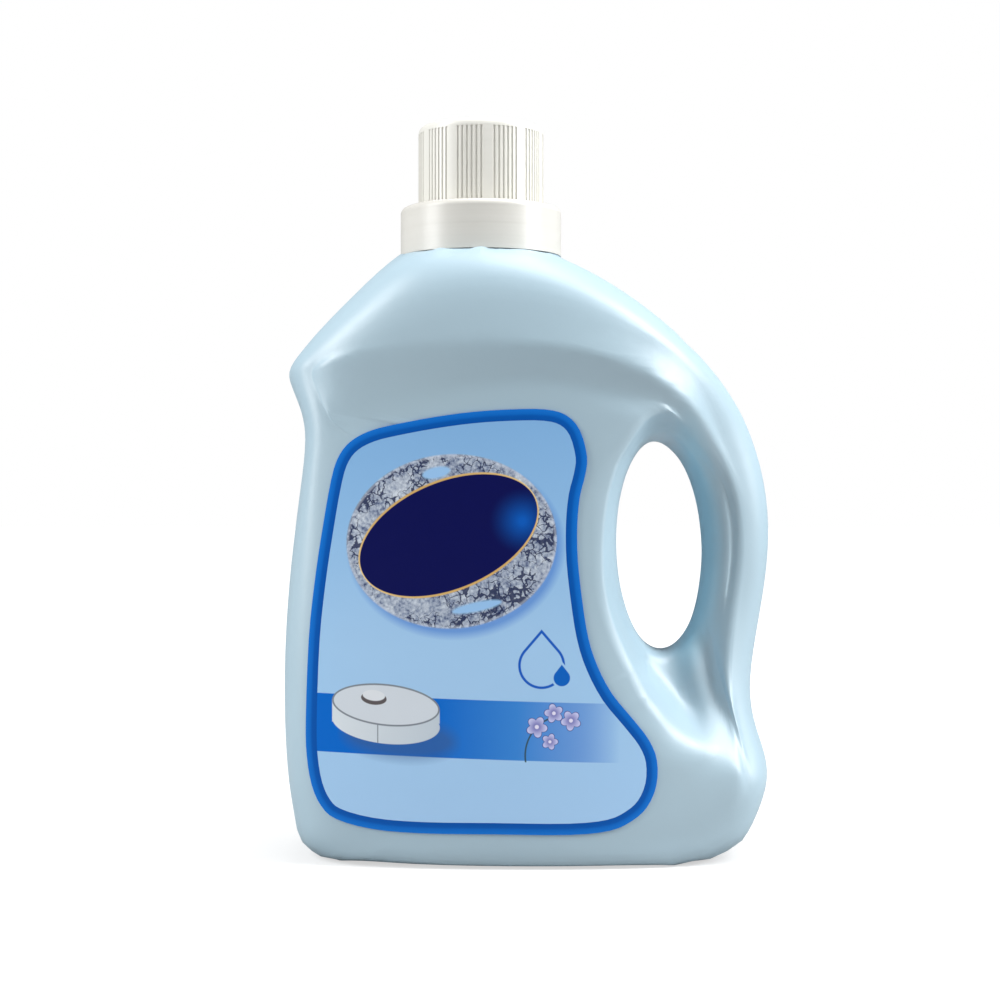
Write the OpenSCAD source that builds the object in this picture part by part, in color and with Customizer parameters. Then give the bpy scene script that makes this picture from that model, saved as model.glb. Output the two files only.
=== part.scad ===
// A jug with a handle pierced through one side, an ivory collar with a spout, a ribbed screw cap and
// labels. Z is up, the handle is on +X, the front label faces -Y. The jug stands on Z = 0.

/* [Jug] */
// Width from the left side to the outside of the handle
body_w = 181; // [179:0.5:183]
// Height from the base to the underside of the collar
body_h = 221; // [219:0.5:223]
// Depth at the brow of the shoulder
body_d = 94; // [92:0.5:98]
// How far the brow stands out over the label panel
brow_out = 3.2; // [2.5:0.1:4]
// Radius of the label panel's bow
panel_bow = 320; // [280:5:400]
// Thickness of the blown wall
wall = 1.4; // [1.2:0.1:1.8]
// Thickness of the floor, over the hollow under the base
floor_t = 3; // [2.8:0.1:4]
// Depth of the hollow under the base
base_hollow = 1.2; // [0.8:0.1:1.4]
// Width of the hole in the handle
hole_w = 32.6; // [31:0.1:34]
// Height of the hole in the handle
hole_h = 77.8; // [76:0.2:80]

/* [Neck] */
// Thickness of the neck wall
neck_wall = 1.7; // [1.5:0.1:1.8]

/* [Collar] */
// Thickness of the collar's skirt round the neck
collar_skirt = 2.7; // [2.5:0.1:3.2]
// Height of the collar
collar_h = 18; // [17:0.5:20]
// Radius of the collar's upper edge
collar_edge = 2.2; // [1:0.1:2.4]
// Thickness of the collar's roof, wall and floor
collar_wall = 1.6; // [1.4:0.1:1.8]
// Outside diameter of the spout
spout_d = 31; // [28:0.5:32]
// Width of the slot that lets drips run back
slot_w = 5; // [3:0.5:8]

/* [Cap] */
// Diameter over the ribs
cap_d = 46.8; // [46:0.1:47]
// Height of the cap above the collar
cap_rise = 30.5; // [28:0.5:34]
// How deep the cap's skirt reaches into the collar
cap_reach = 14; // [12:0.5:15]
// How deep the ribs reach into the collar
rib_reach = 5; // [3:0.5:8]
// Radius of the cap's upper edge
cap_edge = 2.8; // [1.5:0.1:3]
// Thickness of the cap's wall and top
cap_wall = 1.8; // [1.5:0.1:2]
// Number of rib groups
rib_groups = 11; // [10:1:12]
// Ribs in a group
ribs = 5; // [4:1:6]
// Angle from one rib to the next
rib_pitch = 4.2; // [4:0.1:4.4]
// Radius of the groove between two ribs
groove_r = 0.5; // [0.3:0.05:0.6]
// Thickness of the sealing disc
liner_t = 1.5; // [1:0.1:2]

/* [Labels] */
// Thickness of the label film
film_t = 0.3; // [0.25:0.05:0.4]

/* [Hidden] */
$fn = 96;
// Axis of the neck, and the middle of the handle hole
neck_x = -0.0965 * body_w;
hole_x = 0.2702 * body_w;
hole_z = 0.5127 * body_h;
// How far the hole leans towards the label at its top
hole_lean = 1;
// Steps of the outer skin between two stations
steps = 2;
// Clearance of fixed fits, of the cap in the collar, of the liner in the cap and under the cap's skirt
fit = 0.1;
cap_gap = 0.4;
liner_gap = 0.3;
trough_gap = 1.4;
// How far the neck runs down into the shoulder, and how far the skirt stands in from the ribs for its thread
neck_root = 16;
thread_room = 0.9;
// Heights: top of the collar, top of the cap, underside of the cap's top
collar_top = body_h + collar_h;
cap_top = collar_top + cap_rise;
cap_deck = cap_top - cap_wall;
// The cap runs in the collar's bore, the bore's wall fits in the mouth, and the skirt goes round the neck
cap_r = cap_d / 2;
skirt_r = cap_r - thread_room;
bore_r = cap_r + cap_gap;
mouth_r = bore_r + collar_wall + fit;
neck_r = mouth_r + neck_wall;
collar_r = neck_r + fit + collar_skirt;
spout_r = spout_d / 2;
neck_top = collar_top - collar_wall;
// The feet of the skirt and the ribs, and of the collar's floor over the mouth
skirt_foot = collar_top - cap_reach;
rib_foot = collar_top - rib_reach;
floor_foot = skirt_foot - trough_gap - collar_wall;
// Where the rib group nearest the label's middle stands
first_group = -99.7;
// Length of the parting line in the runs below
full_run = 716;
// Parting line: run along it, share of the width, share of the height, angle on the hole's edge
outline_line = [
  [0, 0.5, 0.521, 0], [23, 0.49, 0.623, 22], [45, 0.452, 0.721, 44], [57, 0.419, 0.767, 56],
  [70, 0.375, 0.813, 66], [95, 0.274, 0.891, 78], [118, 0.171, 0.952, 88], [139, 0.067, 0.996, 97],
  [170, -0.096, 1.028, 108], [200, -0.263, 1.002, 120], [223, -0.355, 0.936, 131],
  [240, -0.421, 0.881, 139], [252, -0.464, 0.84, 145], [261, -0.494, 0.803, 151], [268, -0.482, 0.772, 155],
  [277, -0.464, 0.736, 159], [287, -0.455, 0.694, 165], [305, -0.466, 0.609, 174],
  [334, -0.486, 0.482, 187], [362, -0.498, 0.355, 202], [385, -0.5, 0.25, 216], [411, -0.494, 0.135, 228],
  [426, -0.482, 0.067, 234], [437, -0.465, 0.019, 239], [444, -0.43, -0.001, 244],
  [459, -0.347, -0.001, 250], [489, -0.181, -0.001, 260], [523, 0.005, -0.001, 272],
  [561, 0.212, -0.001, 287], [589, 0.369, -0.001, 300], [602, 0.435, 0.023, 308], [618, 0.478, 0.086, 315],
  [630, 0.498, 0.138, 322], [642, 0.477, 0.191, 330], [656, 0.457, 0.25, 338], [674, 0.467, 0.331, 346],
  [694, 0.486, 0.42, 353]
];
// Where the rounding of the sides ends: run, share of the width, share of the height, and the offset from
// the panel's bow as a share of the brow's where it stands out, or of the half depth where it lies back
corner_line = [
  [0, 0.45, 0.518, 0, -0.416], [23, 0.44, 0.607, 0, -0.415], [45, 0.39, 0.692, 0, -0.36],
  [57, 0.36, 0.74, 0, -0.247], [70, 0.326, 0.787, 0, -0.134], [95, 0.226, 0.846, 0, -0.004],
  [118, 0.121, 0.883, 0.361, 0], [139, 0.03, 0.9, 0.452, 0], [170, -0.1, 0.903, 0.659, 0],
  [200, -0.222, 0.883, 0.855, 0], [223, -0.326, 0.846, 0.843, 0], [240, -0.379, 0.831, 0.444, 0],
  [252, -0.412, 0.817, 0, -0.011], [261, -0.433, 0.799, 0, -0.054], [268, -0.427, 0.765, 0, -0.041],
  [277, -0.416, 0.729, 0, -0.018], [287, -0.411, 0.687, 0, -0.01], [305, -0.416, 0.609, 0, -0.017],
  [334, -0.409, 0.488, 0, 0], [362, -0.415, 0.367, 0, 0], [385, -0.415, 0.267, 0, 0],
  [411, -0.405, 0.168, 0, 0], [426, -0.383, 0.107, 0, 0], [437, -0.343, 0.063, 0, 0],
  [444, -0.282, 0.052, 0, 0], [459, -0.233, 0.044, 0, 0], [489, -0.145, 0.039, 0, 0],
  [523, -0.009, 0.038, 0, 0], [561, 0.161, 0.039, 0, 0], [589, 0.315, 0.041, 0, -0.017],
  [602, 0.396, 0.07, 0, -0.027], [618, 0.437, 0.109, 0, -0.032], [630, 0.441, 0.144, 0, -0.044],
  [642, 0.429, 0.2, 0, -0.222], [656, 0.417, 0.264, 0, -0.361], [674, 0.428, 0.381, 0, -0.425],
  [694, 0.441, 0.445, 0, -0.426]
];
// Brow of the shoulder, and the same run carried on over the panel
ridge_line = [
  [0, 0.439, 0.517, 0, -0.411], [23, 0.429, 0.603, 0, -0.409], [45, 0.381, 0.678, 0, -0.336],
  [57, 0.353, 0.715, 0, -0.21], [70, 0.318, 0.749, 0, -0.055], [95, 0.219, 0.798, 0.875, 0],
  [118, 0.117, 0.826, 1, 0], [139, 0.02, 0.838, 1, 0], [170, -0.105, 0.84, 1, 0],
  [200, -0.222, 0.836, 1, 0], [223, -0.318, 0.828, 0.969, 0], [240, -0.375, 0.817, 0.813, 0],
  [252, -0.409, 0.807, 0.375, 0], [261, -0.429, 0.793, 0, -0.042], [268, -0.418, 0.758, 0, -0.032],
  [277, -0.4, 0.72, 0, -0.011], [287, -0.381, 0.677, 0, 0], [305, -0.351, 0.603, 0, 0],
  [334, -0.312, 0.494, 0, 0], [362, -0.306, 0.382, 0, 0], [385, -0.3, 0.286, 0, 0],
  [411, -0.282, 0.198, 0, 0], [437, -0.229, 0.119, 0, 0], [459, -0.164, 0.088, 0, 0],
  [489, -0.086, 0.078, 0, 0], [523, 0.03, 0.078, 0, 0], [561, 0.216, 0.081, 0, 0],
  [589, 0.341, 0.092, 0, 0], [602, 0.401, 0.115, 0.074, 0], [618, 0.431, 0.13, 0, -0.003],
  [630, 0.429, 0.18, 0, -0.111], [642, 0.417, 0.226, 0, -0.223], [656, 0.406, 0.286, 0, -0.354],
  [674, 0.42, 0.393, 0, -0.414], [694, 0.431, 0.451, 0, -0.418]
];
// Upper edge of the label panel, and the same run carried on over the panel
crease_line = [
  [0, 0.427, 0.517, 0, -0.422], [23, 0.418, 0.6, 0, -0.42], [45, 0.373, 0.669, 0, -0.353],
  [57, 0.342, 0.701, 0, -0.25], [70, 0.306, 0.73, 0, -0.127], [95, 0.246, 0.757, 0, -0.03],
  [118, 0.161, 0.772, 0, 0], [139, 0.069, 0.779, 0, 0], [170, -0.038, 0.779, 0, 0],
  [200, -0.151, 0.769, 0, 0], [223, -0.252, 0.755, 0, 0], [240, -0.327, 0.742, 0, 0],
  [252, -0.367, 0.735, 0, 0], [261, -0.395, 0.73, 0, 0], [268, -0.385, 0.715, 0, 0],
  [277, -0.351, 0.694, 0, 0], [287, -0.308, 0.654, 0, 0], [305, -0.237, 0.587, 0, 0],
  [334, -0.193, 0.501, 0, 0], [362, -0.174, 0.407, 0, 0], [385, -0.154, 0.327, 0, 0],
  [411, -0.125, 0.248, 0, 0], [437, -0.077, 0.184, 0, 0], [459, -0.028, 0.153, 0, 0],
  [489, 0.03, 0.138, 0, 0], [523, 0.118, 0.128, 0, 0], [561, 0.271, 0.126, 0, 0], [589, 0.363, 0.145, 0, 0],
  [602, 0.404, 0.158, 0.022, 0], [618, 0.424, 0.149, 0, -0.006], [630, 0.414, 0.217, 0, -0.211],
  [642, 0.404, 0.256, 0, -0.288], [656, 0.397, 0.312, 0, -0.381], [674, 0.411, 0.404, 0, -0.426],
  [694, 0.42, 0.457, 0, -0.428]
];
// Edge of the panel round the handle hole, and the crest of the handle
web_line = [
  [0, 0.416, 0.516, 0, -0.449], [23, 0.407, 0.596, 0, -0.447], [45, 0.366, 0.659, 0, -0.38],
  [57, 0.337, 0.686, 0, -0.307], [70, 0.31, 0.712, 0, -0.209], [95, 0.285, 0.731, 0, -0.077],
  [118, 0.262, 0.736, 0, -0.043], [139, 0.24, 0.73, 0, -0.021], [170, 0.222, 0.719, 0, 0],
  [200, 0.204, 0.697, 0, 0], [223, 0.186, 0.675, 0, 0], [252, 0.167, 0.646, 0, 0],
  [277, 0.151, 0.603, 0, 0], [305, 0.141, 0.55, 0, 0], [334, 0.138, 0.501, 0, 0], [362, 0.143, 0.443, 0, 0],
  [385, 0.157, 0.396, 0, 0], [411, 0.18, 0.351, 0, 0], [437, 0.208, 0.306, 0, 0], [459, 0.235, 0.264, 0, 0],
  [489, 0.263, 0.237, 0, 0], [523, 0.303, 0.205, 0, 0], [561, 0.341, 0.185, 0, 0],
  [589, 0.371, 0.184, 0, -0.04], [602, 0.388, 0.199, 0, -0.149], [618, 0.401, 0.222, 0, -0.254],
  [630, 0.4, 0.257, 0, -0.334], [642, 0.393, 0.289, 0, -0.387], [656, 0.386, 0.341, 0, -0.44],
  [674, 0.402, 0.415, 0, -0.451], [694, 0.41, 0.463, 0, -0.454]
];
// Squareness of the side rounding: run, exponent
round_line = [
  [0, 2], [23, 2], [45, 2.1], [70, 2.3], [95, 2.4], [118, 2.5], [139, 2.6], [170, 2.6], [200, 2.5],
  [223, 2.3], [252, 2.2], [261, 2.2], [277, 2.4], [305, 2.6], [385, 2.6], [411, 2.5], [426, 2.5],
  [437, 2.6], [444, 2.9], [459, 4], [489, 7], [561, 7], [589, 3.6], [602, 2.8], [618, 2.5], [630, 2.4],
  [642, 2.2], [674, 2]
];
// Inner end of the rounding at the hole: run, share of the way to the panel's edge, share of the half
// depth, squareness
rim_line = [
  [0, 0.88, 0.3, 2], [23, 0.85, 0.31, 2], [45, 0.75, 0.36, 2.1], [57, 0.62, 0.43, 2.1],
  [70, 0.55, 0.5, 2.2], [95, 0.5, 0.56, 2.2], [118, 0.5, 0.6, 2.2], [170, 0.5, 0.66, 2.2],
  [223, 0.5, 0.72, 2.2], [277, 0.52, 0.76, 2.2], [334, 0.52, 0.76, 2.2], [362, 0.5, 0.72, 2.2],
  [385, 0.42, 0.62, 2.4], [411, 0.36, 0.5, 2.6], [437, 0.34, 0.42, 3], [459, 0.36, 0.36, 3.4],
  [489, 0.42, 0.33, 4], [523, 0.55, 0.3, 4.5], [561, 0.62, 0.3, 4.4], [589, 0.6, 0.35, 3.6],
  [602, 0.6, 0.33, 3], [618, 0.58, 0.29, 2.6], [630, 0.52, 0.27, 2.3], [642, 0.55, 0.26, 2.2],
  [656, 0.6, 0.255, 2.1], [674, 0.85, 0.3, 2.1]
];
// How sharp the brow is: run, 1 for a sharp edge
crisp_line = [
  [0, 0], [23, 0], [45, 0.2], [70, 0.8], [95, 1], [252, 1], [261, 0.8], [277, 0.2], [305, 0], [459, 0],
  [618, 0]
];
// Outline of the labels: number, share of the width, share of the height
label_line = [
  [0, -0.44, 0.235], [1, -0.434, 0.365], [2, -0.422, 0.458], [3, -0.408, 0.535], [4, -0.389, 0.622],
  [5, -0.373, 0.661], [6, -0.348, 0.685], [7, -0.31, 0.701], [8, -0.26, 0.711], [9, -0.186, 0.722],
  [10, -0.112, 0.73], [11, -0.037, 0.734], [12, 0.03, 0.734], [13, 0.071, 0.725], [14, 0.098, 0.701],
  [15, 0.112, 0.659], [16, 0.108, 0.628], [17, 0.098, 0.595], [18, 0.093, 0.55], [19, 0.094, 0.495],
  [20, 0.102, 0.434], [21, 0.114, 0.372], [22, 0.132, 0.326], [23, 0.161, 0.281], [24, 0.2, 0.242],
  [25, 0.233, 0.207], [26, 0.249, 0.174], [27, 0.248, 0.134], [28, 0.23, 0.1], [29, 0.2, 0.078],
  [30, 0.157, 0.063], [31, 0.079, 0.057], [32, -0.069, 0.058], [33, -0.211, 0.058], [34, -0.308, 0.063],
  [35, -0.379, 0.077], [36, -0.409, 0.097], [37, -0.428, 0.13], [38, -0.438, 0.177]
];
// The numbers of a row after its run
function tail(r) = [for (k = [1:len(r) - 1]) r[k]];
// The number of the row of a closed line before run a
function before(line, a) = max([for (i = [0:len(line) - 1]) if (line[i][0] <= a) i]);
// A row of a closed line by number, and its run counted on over the turns
function row(line, i) = tail(line[(i + len(line)) % len(line)]);
function turn(line, i, full) = line[(i + len(line)) % len(line)][0] + full * floor(i / len(line));
// The slope of a closed line at row i, weighed by the nearer neighbour
function slope(line, i, full) =
  let (a = turn(line, i, full) - turn(line, i - 1, full), b = turn(line, i + 1, full) - turn(line, i, full))
  ((row(line, i) - row(line, i - 1)) * b / a + (row(line, i + 1) - row(line, i)) * a / b) / (a + b);
// A cubic through two values with given end slopes
function cubic(p, q, m, n, u) =
  p * (2 * u ^ 3 - 3 * u ^ 2 + 1) + m * (u ^ 3 - 2 * u ^ 2 + u)
  + q * (3 * u ^ 2 - 2 * u ^ 3) + n * (u ^ 3 - u ^ 2);
// The value of a closed line at run a
function at(line, a, full = full_run) =
  let (i = before(line, a), w = turn(line, i + 1, full) - line[i][0], u = (a - line[i][0]) / w)
  cubic(row(line, i), row(line, i + 1), slope(line, i, full) * w, slope(line, i + 1, full) * w, u);
// The angle on the hole's edge at run a
function hole_angle(a) =
  let (i = before(outline_line, a), here = outline_line[i], w = turn(outline_line, i + 1, full_run) - here[0])
  mix(here[3], i + 1 < len(outline_line) ? outline_line[i + 1][3] : 360, (a - here[0]) / w);

// Half depth of the label panel at X: a slight bow
function bow(x) = body_d / 2 - brow_out - panel_bow + sqrt(panel_bow ^ 2 - x ^ 2);
// Points in millimetres: X, Z and the offset from the bow
function sized(v) = [v[0] * body_w, v[1] * body_h, v[2] * brow_out + v[3] * body_d / 2];
function hole(t) = [hole_x + hole_w / 2 * cos(t) - hole_lean * sin(t), hole_z + hole_h / 2 * sin(t), 0];
// A rounding from a point on the parting plane in to a point of full depth, t from 0 to 90
function rounded(p, q, n, t) =
  let (u = 1 - cos(t) ^ (2 / n), x = p[0] + (q[0] - p[0]) * u)
  [x, p[1] + (q[1] - p[1]) * u, (bow(x) * u + bow(q[0]) * (1 - u) + q[2]) * sin(t) ^ (2 / n)];
function run(p, q) = norm([q[0] - p[0], q[1] - p[1]]);
function mix(p, q, u) = p + (q - p) * u;
// A point moved by t towards another
function towards(p, q, t) =
  let (s = t / run(p, q))
  [mix(p[0], q[0], s), mix(p[1], q[1], s), p[2]];
// The knots of a section, from the end of the side rounding to the start of the rounding at the hole, t deep
// under the outside
function knots(a, h, t) =
  let (w = sized(at(web_line, a)), r = at(rim_line, a), x = mix(h[0], w[0], r[0]), z = mix(h[1], w[1], r[0]))
  [for (k = [sized(at(corner_line, a)), sized(at(ridge_line, a)), sized(at(crease_line, a)), w,
    [x, z, r[1] * body_d / 2 - bow(x)]]) k - [0, 0, t]];
// Slope between knots j and k, and the slope at knot k on the side of knot j. It never overshoots the knots
function rise(n, k, j) = (n[max(k, j)][2] - n[min(k, j)][2]) / run(n[k], n[j]);
function lean(k, n, j, crisp) =
  let (own = rise(n, k, j), o = 2 * k - j, other = o < 0 || o > 4 ? own : rise(n, k, o))
  mix(own * other <= 0 ? 0 : 2 * own * other / (own + other), own, crisp);
function between(n, k, u, crisp) =
  let (d = run(n[k], n[k + 1]), p = mix(n[k], n[k + 1], u),
    from = lean(k, n, k + 1, crisp) * d, to = lean(k + 1, n, k, crisp) * d)
  [p[0], p[1], bow(p[0]) + cubic(n[k][2], n[k + 1][2], from, to, u)];
// A section of the skin from the parting line to the hole: X, Z and depth. The inside lies a wall deeper, and
// a little more in depth because the panels slope
function section(a, t, t_out, t_mid, t_in) =
  let (o = at(outline_line, a), h = hole(hole_angle(a)), n = knots(a, h, t * 1.3),
    p = towards([o[0] * body_w, o[1] * body_h, 0], n[0], t), q = towards(h, n[4], t),
    e = at(round_line, a)[0], r = at(rim_line, a)[2], crisp = max(0, min(1, at(crisp_line, a)[0])))
  concat([for (u = t_out) rounded(p, n[0], e, u)],
    [for (k = [0:3]) for (u = t_mid[k]) between(n, k, u, k < 3 ? crisp : 0.4)],
    [for (u = t_in) rounded(q, n[4], r, u)]);
// The runs of the columns: every station and steps between
function columns(n) = [for (i = [0:len(outline_line) - 1]) for (s = [0:n - 1])
  mix(outline_line[i][0], turn(outline_line, i + 1, full_run), s / n)];
third = [1 / 3, 2 / 3, 1];
half = [0.5, 1];
quarter = [0.25, 0.5, 0.75, 1];
outside = [for (a = columns(steps))
  section(a, 0, [0, 14, 28, 43, 58, 74, 90], [third, third, third, quarter], [72, 54, 36, 18, 0])];
inside = [for (a = columns(steps))
  [for (p = section(a, wall, [0, 45, 90], [half, half, half, quarter], [45, 0]))
    [p[0], max(p[1], floor_t), p[2]]]];

// A closed skin from the sections of its front half, mirrored for the back
module skin(g) {
  n = len(g[0]) - 1;
  m = 2 * n;
  c = len(g);
  points = [for (s = g) for (r = [0:m - 1]) let (p = s[min(r, m - r)]) [p[0], r <= n ? -p[2] : p[2], p[1]]];
  faces = [for (i = [0:c - 1]) for (r = [0:m - 1])
    let (j = (i + 1) % c, q = (r + 1) % m, a = i * m + r, b = i * m + q, d = j * m + r, e = j * m + q)
    each (r < n ? [[a, b, e], [a, e, d]] : [[a, b, d], [b, e, d]])];
  polyhedron(points, faces, 4);
}

// A disc or ring about the neck's axis
module disc(r, foot, top) {
  translate([neck_x, 0, foot]) cylinder(h = top - foot, r = r);
}
// A rectangle of a turned profile: radius and height from corner to corner
module bar(r0, r1, foot, top) {
  translate([r0, foot]) square([r1 - r0, top - foot]);
}

module bottle() {
  color([0.72, 0.83, 0.88])
    difference() {
      resize([body_w, body_d, 0])
        difference() {
          union() {
            skin(outside);
            disc(collar_r - fit, body_h - neck_root, body_h, $fn = 64);
            disc(neck_r, body_h - neck_root, neck_top, $fn = 64);
          }
          skin(inside);
          disc(mouth_r, body_h - neck_root, neck_top + 1, $fn = 64);
          difference() {
            disc(collar_r + 4, body_h, body_h + 20, $fn = 64);
            disc(neck_r, body_h - 1, body_h + 21, $fn = 64);
          }
          translate([0, 0, -1])
            scale([0.34 * body_w, 0.3 * body_d, 1]) cylinder(h = 1 + base_hollow, r = 1, $fn = 64);
        }
      translate([-body_w, -body_d, -5]) cube([2 * body_w, 2 * body_d, 5]);
    }
}

// The collar, the plug that seals the mouth, the trough and the spout are one moulding
module spout_collar() {
  color([0.93, 0.91, 0.86])
    difference() {
      translate([neck_x, 0, 0])
        rotate_extrude() {
          difference() {
            union() {
              bar(neck_r + fit, collar_r, body_h, collar_top - collar_edge);
              bar(neck_r + fit, collar_r - collar_edge, body_h, collar_top);
              translate([collar_r - collar_edge, collar_top - collar_edge]) circle(collar_edge);
            }
            bar(0, neck_r + fit, body_h - 1, collar_top + 1);
          }
          bar(bore_r, neck_r + 1, neck_top, collar_top);
          bar(bore_r, mouth_r - fit, floor_foot, collar_top);
          bar(spout_r - collar_wall, mouth_r - fit, floor_foot, floor_foot + collar_wall);
          bar(spout_r - collar_wall, spout_r, floor_foot, cap_deck - liner_t);
        }
      translate([neck_x, -slot_w / 2, floor_foot + collar_wall]) cube([spout_r + 1, slot_w, cap_rise]);
    }
}

module cap() {
  color([0.94, 0.92, 0.87])
    difference() {
      translate([neck_x, 0, 0])
        rotate_extrude() {
          difference() {
            union() {
              bar(0, cap_r, rib_foot, cap_top - cap_edge);
              bar(0, cap_r - cap_edge, rib_foot, cap_top);
              translate([cap_r - cap_edge, cap_top - cap_edge]) circle(cap_edge);
              bar(0, skirt_r, skirt_foot, rib_foot);
            }
            bar(-cap_r, cap_r - cap_wall, skirt_foot - 1, cap_deck);
            bar(-cap_r, 0, skirt_foot - 1, cap_top + 1);
          }
        }
      for (g = [0:rib_groups - 1]) for (k = [0:ribs])
        translate([neck_x, 0, rib_foot - 1])
          rotate([0, 0, first_group + g * 360 / rib_groups + (k - ribs / 2) * rib_pitch])
            translate([cap_r + groove_r * 0.1, 0, 0])
              cylinder(h = cap_top - cap_edge - 0.4 - rib_foot + 1, r = groove_r);
    }
}

// The foam disc under the cap's top, which the spout presses on
module cap_liner() {
  color([0.96, 0.96, 0.94]) disc(cap_r - cap_wall - liner_gap, cap_deck - liner_t, cap_deck);
}

// A film on the bowed panel. It bites a little into the wall that it is bonded to
module label() {
  n = len(label_line);
  intersection() {
    rotate([90, 0, 0])
      linear_extrude(height = body_d)
        polygon([for (i = [0:n - 1]) for (u = [0, 1 / 3, 2 / 3])
          let (p = at(label_line, i + u, n)) [p[0] * body_w, p[1] * body_h]]);
    translate([0, panel_bow - bow(0), 0])
      difference() {
        cylinder(h = body_h, r = panel_bow + film_t * 0.6);
        translate([0, 0, -1]) cylinder(h = body_h + 2, r = panel_bow - film_t * 0.4);
      }
  }
}
module front_label() {
  color([0.45, 0.68, 0.9]) label();
}
module back_label() {
  color([0.45, 0.68, 0.9]) mirror([0, 1, 0]) label();
}

bottle();
spout_collar();
cap();
cap_liner();
front_label();
back_label();
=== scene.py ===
# %% [markdown]
# # A cleaner jug with a handle, a pour spout and a screw cap
# The solids come first. They are loaded as a fixed frame, in metres, with Z up, the handle on +X and the
# front label facing -Y. Every piece below is built on them, so each one is already in its place.

# %% Load the solids
import math

import bpy
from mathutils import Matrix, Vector


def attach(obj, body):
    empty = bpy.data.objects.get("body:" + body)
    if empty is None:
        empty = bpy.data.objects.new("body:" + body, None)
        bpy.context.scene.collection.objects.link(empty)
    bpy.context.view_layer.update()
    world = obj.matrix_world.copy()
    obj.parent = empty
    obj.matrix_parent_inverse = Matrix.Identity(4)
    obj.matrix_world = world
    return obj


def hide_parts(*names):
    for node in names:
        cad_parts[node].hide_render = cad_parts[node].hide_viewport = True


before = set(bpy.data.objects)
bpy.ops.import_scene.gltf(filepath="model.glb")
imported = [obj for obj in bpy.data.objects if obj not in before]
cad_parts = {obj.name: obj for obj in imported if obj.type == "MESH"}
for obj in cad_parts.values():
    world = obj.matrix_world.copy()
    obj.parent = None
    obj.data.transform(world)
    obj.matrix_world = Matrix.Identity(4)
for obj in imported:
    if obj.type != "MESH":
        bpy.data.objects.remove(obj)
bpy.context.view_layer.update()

MM = 0.001
JUG_BODY, CAP_BODY = "jug", "cap"
JUG_SLOT, IVORY_SLOT, FILM_SLOT = "jug_plastic", "ivory_plastic", "label_film"
print("solids:", sorted(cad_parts))

# %% [markdown]
# Blender's operators act on everything that is selected, and loading leaves the solids selected. Two small
# helpers keep that in hand: one leaves a single piece selected, the other runs edit mode on it.

# %% Helpers for selecting and editing
SAME_POINT = 0.01 * MM


def only(piece):
    """Leaves this piece selected and active, and nothing else."""
    bpy.ops.object.select_all(action="DESELECT")
    piece.select_set(True)
    bpy.context.view_layer.objects.active = piece
    return piece


def edit(piece, *steps):
    """Runs the steps on the whole piece in edit mode."""
    only(piece)
    bpy.ops.object.mode_set(mode="EDIT")
    bpy.ops.mesh.select_all(action="SELECT")
    for step in steps:
        step()
    bpy.ops.object.mode_set(mode="OBJECT")


def modify(piece, kind, **settings):
    """Adds a modifier and applies it."""
    only(piece)
    modifier = piece.modifiers.new(kind.lower(), kind)
    for key, value in settings.items():
        setattr(modifier, key, value)
    bpy.ops.object.modifier_apply(modifier=modifier.name)


def copy_of(node, name):
    """A merged copy of a solid without its stored normals, which may then be reshaped."""
    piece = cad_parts[node].copy()
    piece.data = piece.data.copy()
    piece.name = piece.data.name = name
    piece.parent = None
    for key in list(piece.keys()):
        del piece[key]
    bpy.context.scene.collection.objects.link(piece)
    only(piece)
    bpy.ops.mesh.customdata_custom_splitnormals_clear()
    edit(piece, lambda: bpy.ops.mesh.remove_doubles(threshold=SAME_POINT))
    return piece


def smooth(angle):
    """Shades the selected piece smooth, but for the edges that are sharper than the angle."""
    bpy.ops.object.shade_smooth_by_angle(angle=math.radians(angle))


def settle(piece, body, slot, *nodes):
    """The piece rides on its body and stands for the solids named, which are hidden. Its slot is not used."""
    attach(piece, body)
    if nodes:
        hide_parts(*nodes)
    print(piece.name, len(piece.data.polygons), "faces")


# %% [markdown]
# ## How the finishes are written
# A finish is a tree of shader nodes. To keep it readable, a socket is wrapped in a small class, so that sums
# and products of sockets can be written as plain arithmetic. Every other node comes from one method.

# %% Arithmetic on sockets
class Ink:
    """A socket of the material that is being written."""
    tree = None

    def __init__(self, socket):
        self.socket = socket

    @classmethod
    def node(cls, kind, sockets=None, out=0, stops=None, **settings):
        """Adds a node: its settings first, then the values or links of its sockets."""
        made = cls.tree.nodes.new(kind)
        for key, value in settings.items():
            setattr(made, key, value)
        if stops:
            ramp = made.color_ramp.elements
            while len(ramp) < len(stops):
                ramp.new(0.5)
            for element, (position, shade) in zip(ramp, stops):
                element.position, element.color = position, (*shade, 1)
        for key, value in (sockets or {}).items():
            cls.plug(made.inputs[key], value)
        return cls(made.outputs[out])

    @classmethod
    def plug(cls, socket, value):
        if isinstance(value, cls):
            cls.tree.links.new(value.socket, socket)
        else:
            socket.default_value = value

    def do(self, operation, *others):
        return Ink.node("ShaderNodeMath", dict(enumerate((self, *others))), operation=operation)

    def __add__(self, other): return self.do("ADD", other)
    __radd__ = __add__
    def __sub__(self, other): return self.do("SUBTRACT", other)
    def __rsub__(self, other): return (self * -1) + other
    def __mul__(self, other): return self.do("MULTIPLY", other)
    __rmul__ = __mul__
    def __truediv__(self, other): return self.do("DIVIDE", other)
    def __pow__(self, other): return self.do("POWER", other)
    def low(self, other): return self.do("MINIMUM", other)
    def high(self, other): return self.do("MAXIMUM", other)
    def size(self): return self.do("ABSOLUTE")
    def root(self): return self.do("SQRT")
    def clamp(self): return self.high(0.0).low(1.0)


def colour(red, green, blue):
    """A colour as it shows on a screen, 0 to 255, turned into the linear values that shaders use."""
    shares = (red / 255, green / 255, blue / 255)
    return tuple(c / 12.92 if c <= 0.04045 else ((c + 0.055) / 1.055) ** 2.4 for c in shares)


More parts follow.
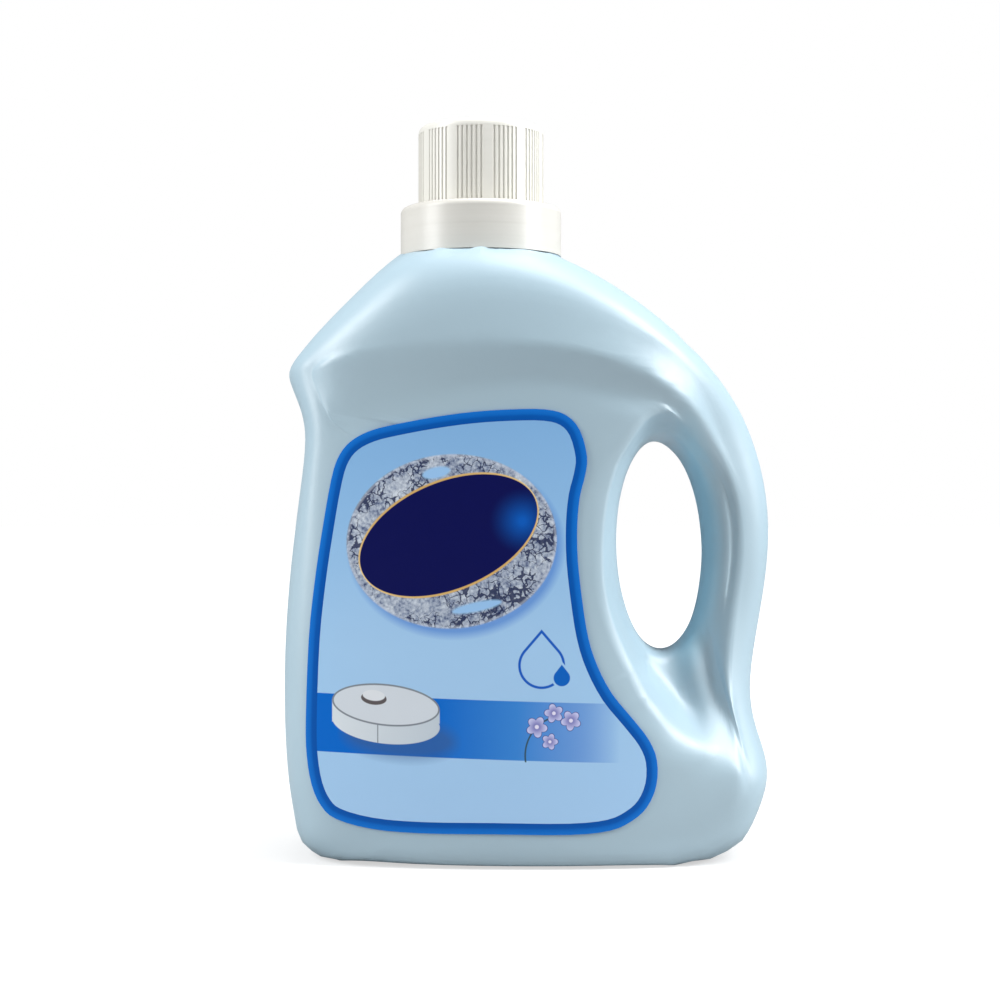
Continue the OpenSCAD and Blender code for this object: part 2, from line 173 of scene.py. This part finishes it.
def over(base, top, mask):
    """The top colour over the base where the mask is 1."""
    wide = lambda value: value if isinstance(value, Ink) else (*value, 1)
    return Ink.node("ShaderNodeMix", {0: mask, 6: wide(base), 7: wide(top)}, out=2, data_type="RGBA")


def place():
    """X, Y and Z on the piece, in millimetres."""
    spot = Ink.node("ShaderNodeTexCoord", out=3)
    split = Ink.node("ShaderNodeSeparateXYZ", {0: spot})
    return [Ink(split.socket.node.outputs[i]) * (1 / MM) for i in range(3)], spot


def ramp(value, *stops):
    """A run of colours over a value from 0 to 1."""
    return Ink.node("ShaderNodeValToRGB", {0: value}, stops=stops)


def noise(spot, scale, detail=2.0, stretch=(1, 1, 1)):
    """Soft random value round 0.5, scale in waves a metre, stretched along an axis."""
    if stretch != (1, 1, 1):
        spot = Ink.node("ShaderNodeMapping", {"Vector": spot, "Scale": stretch})
    return Ink.node("ShaderNodeTexNoise", {"Vector": spot, "Scale": scale, "Detail": detail})


def finish(name, write, **fixed):
    """A material whose varying sockets come from write(), and whose other sockets are fixed."""
    material = bpy.data.materials.new(name)
    material.use_nodes = True
    Ink.tree = material.node_tree
    shader = material.node_tree.nodes["Principled BSDF"]
    for key, value in fixed.items():
        shader.inputs[key.replace("_", " ")].default_value = value
    for key, value in write().items():
        if key == "height":
            key = "Normal"
            value = Ink.node("ShaderNodeBump", {"Height": value, "Distance": MM, "Strength": 1.0})
        Ink.plug(shader.inputs[key], value if isinstance(value, Ink) else (*value, 1))
    return material


def dress(piece, material):
    """Gives the whole piece one material."""
    piece.data.materials.clear()
    piece.data.materials.append(material)


# %% [markdown]
# ## The jug
# The jug is blown in one piece: a soft tube of plastic is pressed against the two halves of a mould, and the
# handle is pinched through. Its solid is a net of flat facets, so a copy of it is turned back into quads and
# subdivided, which makes the skin round. The edges at the neck and the foot are creased first, to stay sharp.

# %% Round the jug's skin
PANEL_BOW = 320 * MM
PANEL_FRONT = 43.8 * MM
PANEL_TOP, BROW_TOP = 140 * MM, 180 * MM
BROW_LEDGE = 2.2 * MM
FOOT_EDGE, NECK_FOOT = 8 * MM, 200 * MM


def panel_depth(x, above=0.0):
    """Half the jug's depth over the bowed label panel, and so far above it."""
    return PANEL_FRONT - PANEL_BOW + math.sqrt((PANEL_BOW + above) ** 2 - x * x)


def crease_edges(angle, weight, wanted):
    """Creases the edges that are sharper than the angle and whose two ends are wanted."""
    bpy.ops.mesh.select_mode(type="EDGE")
    bpy.ops.mesh.select_all(action="DESELECT")
    bpy.ops.mesh.edges_select_sharp(sharpness=math.radians(angle))
    bpy.ops.object.mode_set(mode="OBJECT")
    mesh = bpy.context.object.data
    for edge in mesh.edges:
        edge.select = edge.select and all(wanted(mesh.vertices[v].co) for v in edge.vertices)
    bpy.ops.object.mode_set(mode="EDIT")
    bpy.ops.transform.edge_crease(value=weight)


def at_an_end(spot):
    """On the foot's edge or on the neck."""
    return not FOOT_EDGE < spot.z < NECK_FOOT


def on_brow(spot):
    """On the shoulder's brow, which stands out over the label panel."""
    return abs(spot.y) - panel_depth(spot.x) > BROW_LEDGE and spot.z > PANEL_TOP


def on_panel_top(spot):
    """On the upper edge of the label panel, left of the handle's root."""
    on_bow = abs(abs(spot.y) - panel_depth(spot.x)) < 0.5 * MM
    return on_bow and PANEL_TOP < spot.z < BROW_TOP and spot.x < 20 * MM


jug = copy_of("bottle", "jug_shell")
edit(
    jug,
    lambda: bpy.ops.mesh.tris_convert_to_quads(
        face_threshold=math.radians(40), shape_threshold=math.radians(60)),
    lambda: crease_edges(62, 1.0, at_an_end),
    lambda: crease_edges(20, 0.7, on_brow),
    lambda: crease_edges(8, 0.6, on_panel_top),
)
modify(jug, "SUBSURF", levels=1, render_levels=1)
print("skin:", len(jug.data.vertices), "points")

# %% [markdown]
# The skin's net is crowded where the handle runs into the jug. A plain smoothing first spreads the points of
# the handle and its lower root, and then one that follows the surface takes the ripples out. Each works
# through a vertex group, whose weight grows from the group's border inwards. The weight is nothing on the
# parting line, so the outline and the hole stay, and the groups end short of the label.

# %% Calm the handle's roots
ROOTS_FOOT, VALLEY_FOOT, ROOTS_TOP = 6, 10, 190
HANDLE_START = 46
LABEL_WAIST, LABEL_WAIST_X, LABEL_FAR_X = 96, 22, 48


def weigh(group, point, inside, ramp_in, ramp_off, share=1.0):
    """Puts the point in the group, by how far it is inside the border and off the parting line."""
    if inside > 0:
        weight = min(1.0, inside / ramp_in) * min(1.0, abs(point.co.y / MM) / ramp_off) * share
        group.add([point.index], weight, "REPLACE")


roots = jug.vertex_groups.new(name="roots")
valley = jug.vertex_groups.new(name="valley")
for point in jug.data.vertices:
    spot = point.co / MM
    start = min(LABEL_WAIST_X + abs(LABEL_WAIST - spot.z) / 2, LABEL_FAR_X)
    weigh(roots, point, min(spot.x - start, spot.z - ROOTS_FOOT, ROOTS_TOP - spot.z), 6, 6)
    lower = min(1.0, max(0.35, (106 - spot.z) / 20))
    weigh(valley, point, min(spot.x - HANDLE_START, spot.z - VALLEY_FOOT, ROOTS_TOP - spot.z), 10, 5, lower)
modify(jug, "SMOOTH", vertex_group="valley", factor=0.5, iterations=24)
modify(
    jug, "LAPLACIANSMOOTH", vertex_group="roots", lambda_factor=4.0, lambda_border=0.0, iterations=36,
    use_volume_preserve=True)
smooth(50)

# %% [markdown]
# The plastic is polyethylene, pale ice blue and satin. The mould leaves a fine grain, and a thin line where
# its halves met, which runs round the outline and the hole. The line is only a few hundredths of a
# millimetre high, so it is a bump and not a shape. The thin handle lets light through and its inner side
# lies in shade; both are painted, as a deeper blue on the handle's side of the hole.

# %% The jug's plastic
SEAM = 0.22
HOLE, HOLE_HALF = (48.9, 113.3), (16.3, 38.6)


def ice_blue():
    """Pale blue with faint clouds, the line of the mould and a painted bluer shade on the handle's inner
    side.
    """
    (x, y, z), spot = place()
    cloud = noise(spot, 14, 1.0)
    line = (1 - y.size() / SEAM).clamp()
    base = over(colour(164, 190, 204), colour(173, 198, 211), cloud)
    base = over(base, colour(132, 164, 182), line * 0.5)
    hole = (((x - HOLE[0]) / HOLE_HALF[0]) ** 2 + ((z - HOLE[1]) / HOLE_HALF[1]) ** 2).root()
    painted_shade_near_hole, on_handle = ((1.45 - hole) / 0.45).clamp(), ((x - 52) / 8).clamp()
    # painted shade and painted light through the thin plastic: a bluer tint on the handle's side of the hole
    base = over(base, colour(152, 206, 228), painted_shade_near_hole * on_handle * 0.8)
    grain = noise(spot, 1400, 2.0) * 0.012 + noise(spot, 160, 1.0) * 0.05
    return {
        "Base Color": base,
        "Roughness": noise(spot, 300, 2.0) * 0.08 + 0.40,
        "height": grain + line * 0.08,
    }


dress(jug, finish("jug_plastic", ice_blue, Specular_IOR_Level=1.0))
settle(jug, JUG_BODY, JUG_SLOT, "bottle")

# %% [markdown]
# ## The closure
# The collar with its spout and the screw cap are injection moulded, so their solids are exact and stay as
# they are. They get the warm ivory plastic, which is glossier than the jug's, with the faint rings of the
# mould. Above the collar's top it is painted a little paler: painted light, where the cap is lit more
# brightly. The sealing disc in the cap is white foam.

# %% The closure's plastic
COLLAR_TOP = 239


def ivory():
    """Warm ivory with faint rings round the axis, painted paler above the collar as painted light on the cap.
    """
    (x, y, z), spot = place()
    rings = noise(spot, 30, 1.0, (0.2, 0.2, 14))
    grain = noise(spot, 900, 2.0) * 0.01
    base = over(colour(212, 210, 203), colour(218, 216, 210), rings)
    return {
        # painted light: above the collar's top the ivory turns paler, where the cap is lit more brightly
        "Base Color": over(base, colour(226, 225, 218), ((z - COLLAR_TOP) / 2).clamp()),
        "Roughness": noise(spot, 200, 2.0) * 0.08 + 0.28,
        "height": grain + rings * 0.12,
    }


def foam():
    """White foam with fine cells."""
    spot = place()[1]
    cells = noise(spot, 2600, 3.0)
    return {"Base Color": over(colour(226, 226, 222), colour(244, 244, 240), cells), "height": cells * 0.15}


ivory_plastic = finish("ivory_plastic", ivory, Specular_IOR_Level=0.5)
for node in ("spout_collar", "cap"):
    dress(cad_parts[node], ivory_plastic)
    only(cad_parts[node])
    smooth(30)
dress(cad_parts["cap_liner"], finish("liner_foam", foam, Roughness=0.8))
print("closure dressed:", ["spout_collar", "cap", "cap_liner"])

# %% [markdown]
# The cap's skirt and the collar's bore each carry a thread with two starts and a lead of 10 mm. A thread is
# one small profile, swept up a helix by a screw modifier. The two threads stand half a pitch apart, so the
# cap's slides along the collar's while the cap turns and lifts.

# %% Sweep the threads
NECK_X = -17.4665 * MM
LEAD = 10 * MM
CREST_HALF, ROOT_HALF = 0.35 * MM, 0.75 * MM
STEPS_A_TURN = 60


def thread(name, root, crest, foot, turns):
    """Two ribs of a thread from a root radius to a crest radius, the lowest profile centred at foot."""
    bpy.ops.object.select_all(action="DESELECT")
    bpy.ops.mesh.primitive_plane_add(size=1, location=(0, 0, 0))
    rib = bpy.context.object
    rib.name = rib.data.name = name
    for point in rib.data.vertices:
        outer = point.co.x > 0
        half = CREST_HALF if outer else ROOT_HALF
        point.co = (crest if outer else root, 0, foot + (half if point.co.y > 0 else -half))
    edit(
        rib,
        lambda: bpy.ops.mesh.duplicate(),
        lambda: bpy.ops.transform.rotate(value=math.pi, orient_axis="Z", center_override=(0, 0, 0)),
        lambda: bpy.ops.mesh.select_all(action="SELECT"),
        lambda: bpy.ops.mesh.delete(type="ONLY_FACE"),
    )
    modify(
        rib, "SCREW", angle=turns * 2 * math.pi, screw_offset=turns * LEAD, steps=STEPS_A_TURN,
        render_steps=STEPS_A_TURN, axis="Z")
    edit(
        rib,
        lambda: bpy.ops.mesh.fill_holes(sides=4),
        lambda: bpy.ops.mesh.select_all(action="SELECT"),
        lambda: bpy.ops.mesh.normals_make_consistent(inside=False),
        lambda: bpy.ops.transform.translate(value=(NECK_X, 0, 0)),
    )
    smooth(30)
    dress(rib, ivory_plastic)
    return rib


cap_thread = thread("cap_thread", root=22.4 * MM, crest=23.25 * MM, foot=226.9 * MM, turns=0.5)
collar_thread = thread("collar_thread", root=23.9 * MM, crest=22.8 * MM, foot=229.4 * MM, turns=0.36)
settle(cap_thread, CAP_BODY, IVORY_SLOT)
settle(collar_thread, JUG_BODY, IVORY_SLOT)

# %% [markdown]
# ## The labels
# A label is a film of printed plastic, bonded to the bowed panel. Its blue border follows its outline, so
# the film is cut into rings from the outside in: the front of the solid is made one face, which is inset
# step by step, and each ring's distance from the edge is kept with its points for the finish to read. Then
# the sheet is cut into upright strips, bent to the panel's bow and given its thickness.

# %% Cut a label into border rings
FILM = 0.3 * MM
PROUD = 0.6
BORDER = 4.1 * MM
RINGS = (0.12, 0.25, 0.25, 0.25, 0.13)
STRIPS = 60


def film_depth(x):
    """How far the film's outer face stands in front of the parting plane."""
    return panel_depth(x, PROUD * FILM)


def keep_front():
    """Deletes all but the film's front, and makes that one face."""
    bpy.ops.mesh.select_mode(type="FACE")
    bpy.ops.object.mode_set(mode="OBJECT")
    for face in bpy.context.object.data.polygons:
        face.select = face.normal.y > -0.9 or face.center.y > 0.4 * FILM - film_depth(face.center.x)
    bpy.ops.object.mode_set(mode="EDIT")
    bpy.ops.mesh.delete(type="FACE")
    bpy.ops.mesh.select_all(action="SELECT")
    bpy.ops.mesh.dissolve_faces(use_verts=False)


def cut_label(name, side):
    """The film as a closed sheet. Side is 1 for the front and -1 for the back."""
    label = copy_of("front_label", name)
    edit(label, keep_front)
    for point in label.data.vertices:
        point.co.y = 0
    label.data.attributes.new("rim", "FLOAT", "POINT")
    done = 0
    for share in RINGS:
        only(label)
        bpy.ops.object.mode_set(mode="EDIT")
        bpy.ops.mesh.inset(thickness=share * BORDER, use_boundary=True)
        bpy.ops.object.mode_set(mode="OBJECT")
        done += share
        rim = label.data.attributes["rim"]
        for point in label.data.vertices:
            if point.select:
                rim.data[point.index].value = done
    low = min(point.co.x for point in label.data.vertices)
    high = max(point.co.x for point in label.data.vertices)
    for k in range(1, STRIPS):
        cut = low + (high - low) * k / STRIPS
        edit(label, lambda: bpy.ops.mesh.bisect(plane_co=(cut, 0, 0), plane_no=(1, 0, 0)))
    for point in label.data.vertices:
        point.co.y = -side * film_depth(point.co.x)
    edit(label, lambda: bpy.ops.mesh.normals_make_consistent(inside=False))
    facing = sum(face.normal.y * face.area for face in label.data.polygons)
    if facing * side > 0:
        edit(label, lambda: bpy.ops.mesh.flip_normals())
    edit(label, lambda: bpy.ops.mesh.remove_doubles(threshold=0.02 * MM))
    modify(label, "SOLIDIFY", thickness=FILM, offset=-1)
    smooth(30)
    return label


front = cut_label("front_film", 1)
back = cut_label("back_film", -1)
print("films:", [(film.name, len(film.data.polygons)) for film in (front, back)])

# %% [markdown]
# The print is written as plain shapes on the film's own X and Z, in millimetres. Each shape is a distance
# that is negative inside: a tilted ellipse, a round drop with a pointed top, a band. A mask turns the
# distance into ink with a thin soft edge.

# %% Shapes of the print
def ink_in(distance, soft=0.25):
    """1 inside the shape, 0 outside."""
    return (0.5 - distance / soft).clamp()


def ink_on(distance, width, soft=0.25):
    """1 on a line along the shape's edge."""
    return ink_in(distance.size() - width / 2, soft)


def turned(x, z, centre, tilt):
    """X and Z measured from a centre along tilted axes."""
    c, s = math.cos(math.radians(tilt)), math.sin(math.radians(tilt))
    dx, dz = x - centre[0], z - centre[1]
    return dx * c + dz * s, dz * c - dx * s


def ellipse(x, z, centre, half, tilt=0):
    """About how far a point lies outside a tilted ellipse."""
    a, b = turned(x, z, centre, tilt)
    a, b = a / half[0], b / half[1]
    r = (a * a + b * b).root()
    return r * (r - 1) / (a * a / half[0] ** 2 + b * b / half[1] ** 2 + 1e-6).root()


def drop(x, z, centre, radius, tip):
    """A round drop whose sides run straight up to a point, tip above the centre."""
    side = (x - centre[0]).size()
    up = z - centre[1]
    lean = math.asin(radius / tip)
    cone = side * math.cos(lean) + up * math.sin(lean) - radius
    ball = (side * side + up * up).root() - radius
    on_cone = ink_in(side * math.sin(lean) - up * math.cos(lean), 0.02)
    return ball + (cone - ball) * on_cone


# %% The front print
def front_print():
    """The front film's print, from the ground up."""
    (x, y, z), spot = place()
    ground = ramp(
        ((z - 10) / 160).clamp(),
        (0.0, colour(170, 208, 244)), (0.42, colour(164, 206, 242)),
        (0.68, colour(148, 194, 236)), (1.0, colour(128, 178, 226)))
    pale = (1 - ellipse(x, z, (-30, 82), (30, 20)) / 30).clamp()
    ground = over(ground, colour(176, 210, 244), pale * 0.25)
    ground = band(ground, x, z)
    ground = badge(ground, x, z, spot)
    ground = drops(ground, x, z)
    ground = appliance(ground, x, z)
    ground = flowers(ground, x, z)
    return border(ground, spot)


def band(ground, x, z):
    """A blue band across the foot of the print, which fades to the right."""
    sag = (x + 31) * 0.03
    top, bottom = z - (60.4 - sag), z - (39.6 - sag)
    along = ((x + 34) / 66).clamp()
    blue = ramp(
        along, (0.0, colour(0, 106, 206)), (0.45, colour(60, 136, 216)),
        (0.8, colour(112, 160, 224)), (1.0, colour(142, 186, 234)))
    return over(ground, blue, ink_in(top) * ink_in(bottom * -1) * (1 - along ** 14))


def badge(ground, x, z, spot):
    """A foam ring with its shadow, round a navy oval with a thin gold rim."""
    middle = (-28.6, 117.9)
    ring = ellipse(x, z, (-27.6, 115.8), (37.2, 30.6), 4)
    oval = ellipse(x, z, middle, (33.2, 18.7), 23)
    shade = ellipse(x, z, (-26.0, 113.4), (37.4, 31.0), 4)
    ground = over(ground, colour(84, 138, 216), (0.5 - shade / 3.2).clamp() * 0.75)
    ground = over(ground, foam_print(x, z, spot), ink_in(ring, 0.6))
    ground = over(ground, colour(214, 222, 236), ink_on(ring + 0.4, 0.7, 0.8) * 0.45)
    across = ((x - middle[0]) * 0.5 - (z - middle[1])).size() / 30
    gold = over(colour(244, 214, 150), colour(206, 158, 84), across)
    ground = over(ground, gold, ink_in(oval - 0.35 - across.low(1.0) * 0.6))
    glow = (1 - ellipse(x, z, (-2.5, 123), (1, 1)) / 11).clamp()
    return over(ground, over(colour(6, 12, 82), colour(8, 92, 190), glow ** 1.6), ink_in(oval))


def drops(ground, x, z):
    """An outlined drop with a small full drop on its shoulder."""
    big = drop(x, z, (4.3, 72.2), 8.2, 12.6)
    small = drop(x, z, (11.4, 67.8), 2.9, 4.7)
    ground = over(ground, colour(24, 92, 196), ink_on(big + 0.4, 0.9) * (1 - ink_in(small - 0.7)))
    return over(ground, colour(10, 100, 196), ink_in(small))


def foam_print(x, z, spot):
    """Grey foam: a fine grain, dark cracks that gather at two places, and pale blue pools."""
    grain = noise(spot, 900, 6.0)
    tone = ramp(
        grain * 0.6 + noise(spot, 160, 3.0) * 0.4,
        (0.36, colour(84, 98, 132)), (0.46, colour(150, 162, 184)),
        (0.56, colour(186, 196, 210)), (0.66, colour(214, 222, 232)))
    wander = Ink.node("ShaderNodeTexNoise", {"Vector": spot, "Scale": 260.0, "Detail": 4.0}, out=1)
    wander = Ink.node("ShaderNodeVectorMath", {0: wander, 3: 0.006}, operation="SCALE")
    bent = Ink.node("ShaderNodeVectorMath", {0: spot, 1: wander}, operation="ADD")
    cracks = Ink.node("ShaderNodeTexVoronoi", {"Vector": bent, "Scale": 330.0}, feature="DISTANCE_TO_EDGE")
    thick = (noise(spot, 90, 2.0) - 0.38).high(0.0) * 0.6
    gather = ((x + 27.6) * 0.9 - (z - 115.8)).size() / 26
    dark = ((thick * gather.low(1.2) - cracks) * 30).clamp()
    tone = over(tone, colour(30, 40, 80), dark * 0.9)
    for centre, half, tilt in (((-32.8, 140.0), (5.0, 2.0), 12), ((-18.5, 92.8), (8.8, 1.7), 12)):
        tone = over(tone, colour(156, 200, 242), ink_in(ellipse(x, z, centre, half, tilt), 0.9))
    return tone


def appliance(ground, x, z):
    """A plain round floor appliance: a pale disc with a skirt and a low turret."""
    body, lid, half, tilt = (-50.8, 51.6), (-50.8, 57.9), (19.3, 7.4), -5
    shadow = ellipse(x, z, (-46, 46.5), (20, 7.5), tilt)
    ground = over(ground, colour(62, 96, 146), (0.5 - shadow / 5).clamp() * 0.6)
    side = ellipse(x, z, body, half, tilt)
    right, slope = x - body[0], 0.087
    wall = ink_in(right.size() - 19.2, 0.3) * ink_in(z - lid[1] + right * slope) * ink_in((z - body[1]) * -1)
    skirt = ink_in(side).high(wall)
    tone = ((x + 70) / 40).clamp()
    ground = over(ground, over(colour(222, 230, 236), colour(196, 208, 218), tone), skirt)
    ground = over(ground, colour(120, 130, 140), ink_on(x + 53.6, 0.35) * skirt)
    top = ellipse(x, z, lid, half, tilt)
    ground = over(ground, colour(128, 136, 146), ink_in(top))
    ground = over(ground, colour(214, 222, 230), ink_in(top + 0.6))
    ground = over(ground, colour(96, 90, 92), ink_in(ellipse(x, z, (-55.0, 60.2), (4.6, 2.3), tilt)))
    return over(ground, colour(226, 231, 236), ink_in(ellipse(x, z, (-55.0, 61.2), (4.0, 1.9), tilt)))


# each flower's centre, radius and turn in degrees
FLOWERS = ((2.6, 50.6, 3.7, 10), (8.6, 55.4, 3.3, 40), (14.6, 52.8, 3.5, 25), (7.2, 45.4, 2.8, 0))


def flowers(ground, x, z):
    """A sprig with plain five-petalled flowers."""
    stem = ellipse(x, z, (12.0, 40.5), (13.5, 14.0), 0)
    part = ink_in(x - 9) * ink_in((z - 38.2) * -1)
    ground = over(ground, colour(60, 84, 92), ink_on(stem, 0.55) * part)
    for cx, cz, size, turn in FLOWERS:
        dx, dz = x - cx, z - cz
        far = (dx * dx + dz * dz).root()
        angle = dz.do("ARCTAN2", dx) + math.radians(turn)
        petal = far - size * (0.62 + 0.38 * (angle * 2.5).do("COSINE").size())
        inner = (far / size).clamp()
        tint = over(colour(84, 80, 172), colour(212, 214, 248), inner)
        ground = over(ground, colour(66, 66, 146), ink_in(petal - 0.25))
        ground = over(ground, tint, ink_in(petal))
        ground = over(ground, colour(236, 232, 250), ink_in(far - size * 0.2))
    return ground


def border(ground, spot):
    """The blue border, with a painted highlight along its outer edge, as light on a raised edge of the film.
    """
    rim = Ink.node("ShaderNodeAttribute", out=2, attribute_name="rim")
    # painted highlight: the border's outer rings are a lighter blue, as light catching the film's raised edge
    blue = ramp(
        rim, (0.0, colour(22, 118, 212)), (0.40, colour(8, 106, 200)),
        (0.58, colour(0, 88, 178)), (1.0, colour(0, 82, 170)))
    return {
        "Base Color": over(ground, blue, ((0.985 - rim) / 0.02).clamp()),
        "Roughness": noise(spot, 120, 2.0) * 0.08 + 0.3,
        "height": noise(spot, 220, 2.0) * 0.02,
    }


# %% The back print
def back_print():
    """A plain print: a pale panel, a dark bar and a drop."""
    (x, y, z), spot = place()
    ground = ramp(
        ((z - 10) / 160).clamp(), (0.0, colour(158, 196, 234)), (0.42, colour(160, 200, 236)),
        (1.0, colour(128, 174, 218)))
    panel = ((x + 22).size() - 36).high((z - 62).size() - 26)
    ground = over(ground, colour(222, 234, 246), ink_in(panel - 1.5, 0.5))
    ground = over(ground, colour(196, 216, 238), ink_on(panel - 1.2, 0.5))
    bar = ((x + 30).size() - 26).high((z - 128).size() - 8)
    ground = over(ground, colour(12, 72, 158), ink_in(bar))
    ground = over(ground, colour(12, 104, 196), ink_in(drop(x, z, (-30, 104), 4.4, 7.6)))
    return border(ground, spot)


for film, print_of, node in ((front, front_print, "front_label"), (back, back_print, "back_label")):
    dress(film, finish(node + "_print", print_of, Specular_IOR_Level=0.15))
    settle(film, JUG_BODY, FILM_SLOT, node)

# %% [markdown]
# ## Camera, light and floor
# The camera stands level, 0.71 m in front of the jug. The jug is lit as in a studio, by a large soft lamp on
# each side and one above, so that its front is a little darker than its flanks. The floor and the sky are
# white to the camera only, so they put no extra light on the jug.

# %% Camera
EYE = (-10.34 * MM, -711.7 * MM, 133.9 * MM)
lens = bpy.data.cameras.new("camera")
lens.lens, lens.sensor_width = 68.4, 36
lens.shift_y = -0.01
camera = bpy.data.objects.new("camera", lens)
camera.location = EYE
camera.rotation_euler = (math.radians(90), 0, 0)
bpy.context.scene.collection.objects.link(camera)
bpy.context.scene.camera = camera
print("camera:", lens.lens, "mm, at", EYE)

# %% Lamps
AIM = Vector((0, 0, 0.14))


def lamp(name, spot, size, power):
    """A soft lamp that is turned to the jug."""
    light = bpy.data.lights.new(name, "AREA")
    light.shape, light.size, light.size_y, light.energy = "RECTANGLE", *size, power
    made = bpy.data.objects.new(name, light)
    made.location = spot
    made.rotation_euler = (made.location - AIM).to_track_quat("Z", "Y").to_euler()
    bpy.context.scene.collection.objects.link(made)


lamp("left_softbox", (-0.85, -0.28, 0.60), (0.4, 0.9), 9.5)
lamp("right_softbox", (0.85, -0.20, 0.70), (0.4, 0.9), 14.0)
lamp("top_softbox", (0.12, 0.05, 1.05), (0.9, 0.5), 6.0)
print("lamps:", [light.name for light in bpy.data.lights])

# %% White to the camera
def seen():
    """1 for what the camera sees."""
    return Ink(Ink.node("ShaderNodeLightPath").socket.node.outputs["Is Camera Ray"])


SKY_LIGHT = 0.27
FLOOR_SIZE, FLOOR_GREY = 12, 0.4
NEAR_GLOW, FAR_START, FAR_RUN = 0.6, 250, 500
world = bpy.data.worlds.new("studio")
world.use_nodes = True
bpy.context.scene.world = world
Ink.tree = world.node_tree
sky = world.node_tree.nodes["Background"]
sky.inputs["Color"].default_value = (1, 1, 1, 1)
Ink.plug(sky.inputs["Strength"], seen() * (1 - SKY_LIGHT) + SKY_LIGHT)

bpy.ops.object.select_all(action="DESELECT")
bpy.ops.mesh.primitive_plane_add(size=FLOOR_SIZE, location=(0, 0, 0))
floor = only(bpy.context.object)
floor.name = "floor"
floor_white = bpy.data.materials.new("floor_white")
floor_white.use_nodes = True
Ink.tree = floor_white.node_tree
paint = floor_white.node_tree.nodes["Principled BSDF"]
paint.inputs["Base Color"].default_value = (FLOOR_GREY, FLOOR_GREY, FLOOR_GREY, 1)
paint.inputs["Roughness"].default_value = 0.9
paint.inputs["Emission Color"].default_value = (1, 1, 1, 1)
(x, y, z), spot = place()
far = (((x * x + y * y).root() - FAR_START) / FAR_RUN).clamp()
Ink.plug(paint.inputs["Emission Strength"], seen() * (far * (1 - NEAR_GLOW) + NEAR_GLOW))
dress(floor, floor_white)
print("stage:", floor.name)

bpy.context.scene.view_settings.view_transform = "Standard"
